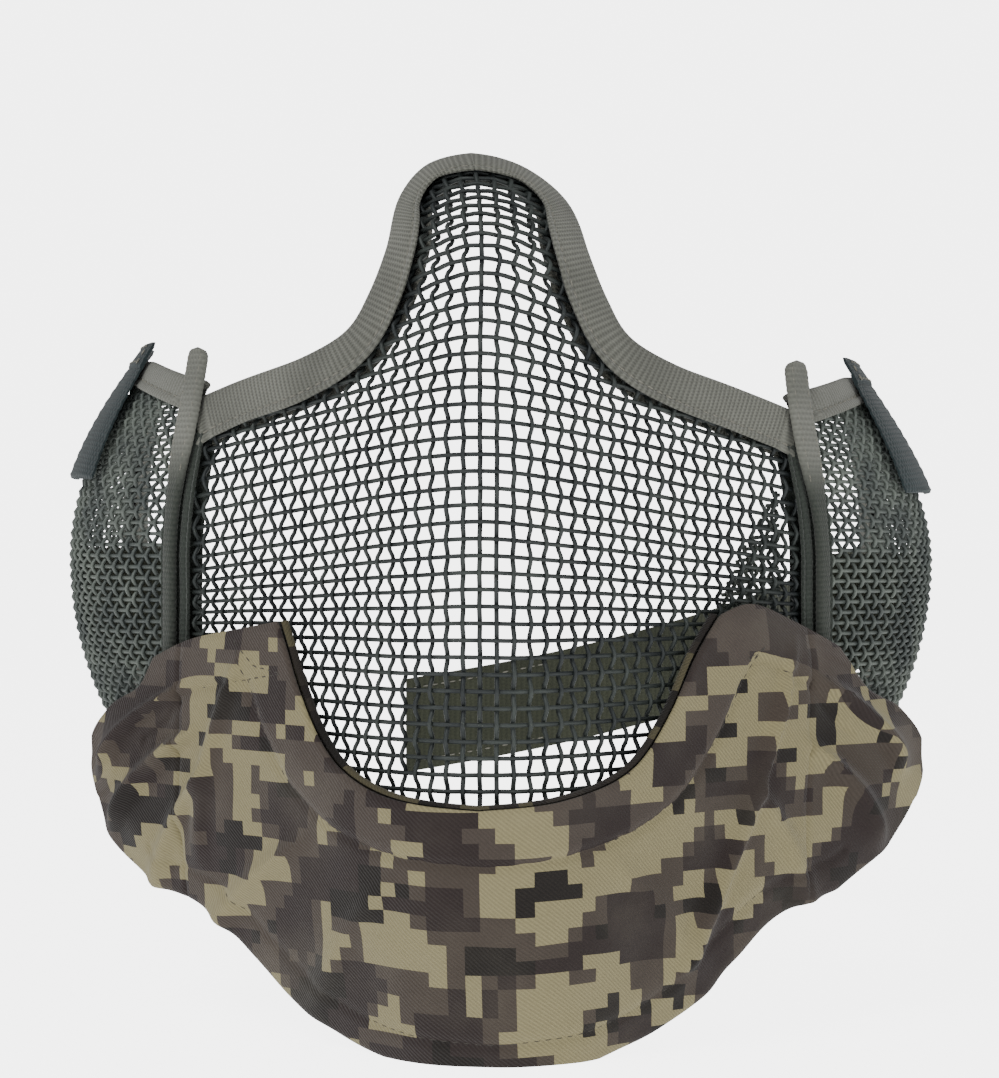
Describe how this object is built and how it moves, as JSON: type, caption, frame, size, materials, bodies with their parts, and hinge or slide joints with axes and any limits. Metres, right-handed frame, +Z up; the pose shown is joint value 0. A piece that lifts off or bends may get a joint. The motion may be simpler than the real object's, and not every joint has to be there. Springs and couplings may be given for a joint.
{
  "type": "camo face mask",
  "caption": "Half-face mesh mask with bound edges, swinging mesh ear guards, webbing straps and a camouflage cloth cover over the chin.",
  "frame": {"origin": "on the mid-plane where the mask seats on the wearer's face, at mouth height", "axes": "+Z up, the mask faces -Y, +X to the right as seen from in front"},
  "size_m": [0.1896, 0.2182, 0.1735],
  "materials": {
    "wire_cloth": "woven steel wire cloth under an olive-grey coat, satin",
    "edge_webbing": "ribbed grey-olive webbing folded over the edge",
    "trim_tape": "lighter grey ribbed tape",
    "strap_webbing": "dense dark blue-green grey webbing",
    "strap_elastic": "dark olive woven elastic",
    "hook_tape": "dark hook and loop tape",
    "cover_cloth": "printed twill in a blocky digital camouflage of khaki, brown and grey",
    "hem_cloth": "dark turned hem of the cover"
  },
  "bodies": {
    "face": {"cheek_flap_right": "wire_cloth", "chin_binding": "edge_webbing", "chin_front_panel": "cover_cloth", "chin_hem": "hem_cloth", "face_mesh": "wire_cloth", "neckline_hem": "hem_cloth", "seam_tape_left": "trim_tape", "seam_tape_right": "trim_tape", "side_binding_left": "edge_webbing", "side_binding_right": "edge_webbing", "top_binding": "edge_webbing"},
    "ear_guard_left": {"chin_wing_left": "cover_cloth", "ear_binding_left": "trim_tape", "ear_mesh_left": "wire_cloth", "strap_anchor_left": "strap_webbing", "strap_root_left": "strap_elastic"},
    "upper_strap_end_left": {"upper_strap_left": "strap_webbing"},
    "lower_strap_end_left": {"lower_strap_left": "strap_elastic", "strap_pad_left": "hook_tape"},
    "ear_guard_right": {"chin_wing_right": "cover_cloth", "ear_binding_right": "trim_tape", "ear_mesh_right": "wire_cloth", "strap_anchor_right": "strap_webbing", "strap_root_right": "strap_elastic"},
    "upper_strap_end_right": {"upper_strap_right": "strap_webbing"},
    "lower_strap_end_right": {"lower_strap_right": "strap_elastic", "strap_pad_right": "hook_tape"}
  },
  "joints": [
    {"name": "ear_hinge_left", "type": "hinge", "parent": "face", "child": "ear_guard_left", "pos_m": [-0.0657, -0.0085, 0], "axis": [0, 0, 1], "range_deg": [-6, 16]},
    {"name": "ear_hinge_right", "type": "hinge", "parent": "face", "child": "ear_guard_right", "pos_m": [0.0657, -0.0085, 0], "axis": [0, 0, -1], "range_deg": [-6, 16]},
    {"name": "upper_strap_fold_left", "type": "hinge", "parent": "ear_guard_left", "child": "upper_strap_end_left", "pos_m": [-0.08455, 0.03056, 0.03423], "axis": [-0.2256, 0.9742, 0.0083], "range_deg": [0, 50]},
    {"name": "upper_strap_fold_right", "type": "hinge", "parent": "ear_guard_right", "child": "upper_strap_end_right", "pos_m": [0.08179, 0.03164, 0.03001], "axis": [-0.1571, -0.9876, 0.0016], "range_deg": [0, 50]},
    {"name": "lower_strap_swing_left", "type": "hinge", "parent": "ear_guard_left", "child": "lower_strap_end_left", "pos_m": [-0.08548, 0.08462, -0.01431], "axis": [0, 0, 1], "range_deg": [-25, 20]},
    {"name": "lower_strap_swing_right", "type": "hinge", "parent": "ear_guard_right", "child": "lower_strap_end_right", "pos_m": [0.07893, 0.08577, -0.01494], "axis": [0, 0, 1], "range_deg": [-20, 25]}
  ]
}
